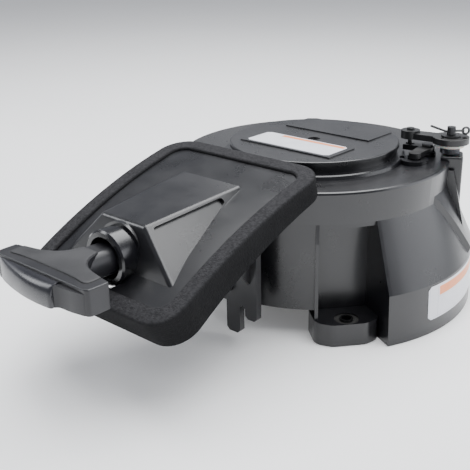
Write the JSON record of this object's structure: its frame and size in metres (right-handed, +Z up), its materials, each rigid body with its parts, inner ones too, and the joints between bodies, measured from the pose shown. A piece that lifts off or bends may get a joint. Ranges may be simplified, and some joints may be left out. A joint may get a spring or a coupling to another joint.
{
  "type": "recoil starter",
  "caption": "Rope-pull recoil starter of an outboard engine: bell-shaped black case with drum inside, raked foam-sealed front guide with T-grip, and an interlock lever.",
  "frame": {"origin": "centre of the mounting bolt circle, on the ears' underside", "axes": "+Z up along the drum spindle, -Y the way the rope is pulled, +X to the interlock lever's side"},
  "size_m": [0.315, 0.4944, 0.1673],
  "materials": {
    "moulded_black": "semi-gloss moulded black nylon",
    "ring_black": "glossy black guide ring",
    "bush_nylon": "dark self-lubricating nylon",
    "seal_foam": "matte closed-cell foam",
    "zinc_steel": "zinc plated steel",
    "grommet_rubber": "black rubber",
    "label_white": "white film label with a plain orange band",
    "turned_steel": "machined steel",
    "bush_bronze": "sintered bronze",
    "spring_steel": "blued spring steel",
    "drum_nylon": "glass filled nylon",
    "rope_braid": "braided nylon rope",
    "lever_black": "black moulded acetal",
    "washer_nylon": "natural nylon",
    "grip_grey": "satin dark grey moulding",
    "grip_soft": "fine textured soft insert",
    "badge_grey": "plain blank badge plate"
  },
  "bodies": {
    "case": {"starter_case": "moulded_black", "guide_housing": "moulded_black", "foam_gasket": "seal_foam", "guide_ring": "ring_black", "rope_bush": "bush_nylon", "bracket_screws": "zinc_steel", "ear_grommets": "grommet_rubber", "ear_collars": "zinc_steel", "lid_label": "label_white", "skirt_label": "label_white", "drum_spindle": "turned_steel", "mainspring": "spring_steel", "retaining_bolt": "zinc_steel", "retaining_washer": "zinc_steel", "brake_spring": "spring_steel", "lever_pivot_pin": "zinc_steel", "nylon_washer": "washer_nylon", "lever_washer": "zinc_steel", "lever_spring": "spring_steel", "cotter_pin": "zinc_steel", "stop_pivot_pin": "zinc_steel", "rope_lead": "rope_braid"},
    "drum": {"rope_drum": "drum_nylon", "drum_bush": "bush_bronze", "rope_wound": "rope_braid", "pawl_pins": "turned_steel"},
    "drive_plate": {"drive_plate": "turned_steel"},
    "pawl_a": {"drive_pawl_a": "turned_steel"},
    "pawl_b": {"drive_pawl_b": "turned_steel"},
    "grip": {"grip_body": "grip_grey", "grip_insert": "grip_soft", "grip_badge": "badge_grey", "knot_retainer": "zinc_steel"},
    "lever": {"interlock_lever": "lever_black", "link_pin": "zinc_steel"},
    "stop": {"stop_pawl": "lever_black"}
  },
  "joints": [
    {"name": "drum_spin", "type": "hinge", "parent": "case", "child": "drum", "pos_m": [0, 0, 0.109], "axis": [0, 0, -1], "range_deg": [0, 1380], "stiffness_Nm_per_rad": 0.058, "springref_deg": -1145.92, "deforming": ["mainspring", "rope_wound"]},
    {"name": "grip_pull", "type": "slide", "parent": "case", "child": "grip", "axis": [0, -1, 0], "range_m": [0, 1.5006], "deforming": ["rope_lead"]},
    {"name": "plate_turn", "type": "hinge", "parent": "drum", "child": "drive_plate", "pos_m": [0, 0, 0.09], "axis": [0, 0, 1], "range_deg": [0, 25], "stiffness_Nm_per_rad": 0.02, "springref_deg": -17.19},
    {"name": "pawl_a_swing", "type": "hinge", "parent": "drum", "child": "pawl_a", "pos_m": [0.038, 0, 0.099], "axis": [0, 0, -1], "range_deg": [0, 28]},
    {"name": "pawl_b_swing", "type": "hinge", "parent": "drum", "child": "pawl_b", "pos_m": [-0.038, 0, 0.099], "axis": [0, 0, -1], "range_deg": [0, 28]},
    {"name": "lever_turn", "type": "hinge", "parent": "case", "child": "lever", "pos_m": [0.11283, 0.06254, 0.153], "axis": [0, 0, -1], "range_deg": [0, 10], "stiffness_Nm_per_rad": 0.3, "springref_deg": -17.19, "deforming": ["lever_spring"]},
    {"name": "stop_swing", "type": "hinge", "parent": "case", "child": "stop", "pos_m": [0.09147, 0.0587, 0.141], "axis": [0, 0, -1], "range_deg": [0, 22]}
  ],
  "couplings": [
    {"joint": "grip_pull", "follows": "drum_spin", "m_per_rad": 0.0623},
    {"joint": "pawl_a_swing", "follows": "plate_turn", "ratio": 1.12},
    {"joint": "pawl_b_swing", "follows": "plate_turn", "ratio": 1.12},
    {"joint": "stop_swing", "follows": "lever_turn", "ratio": 2.2}
  ]
}
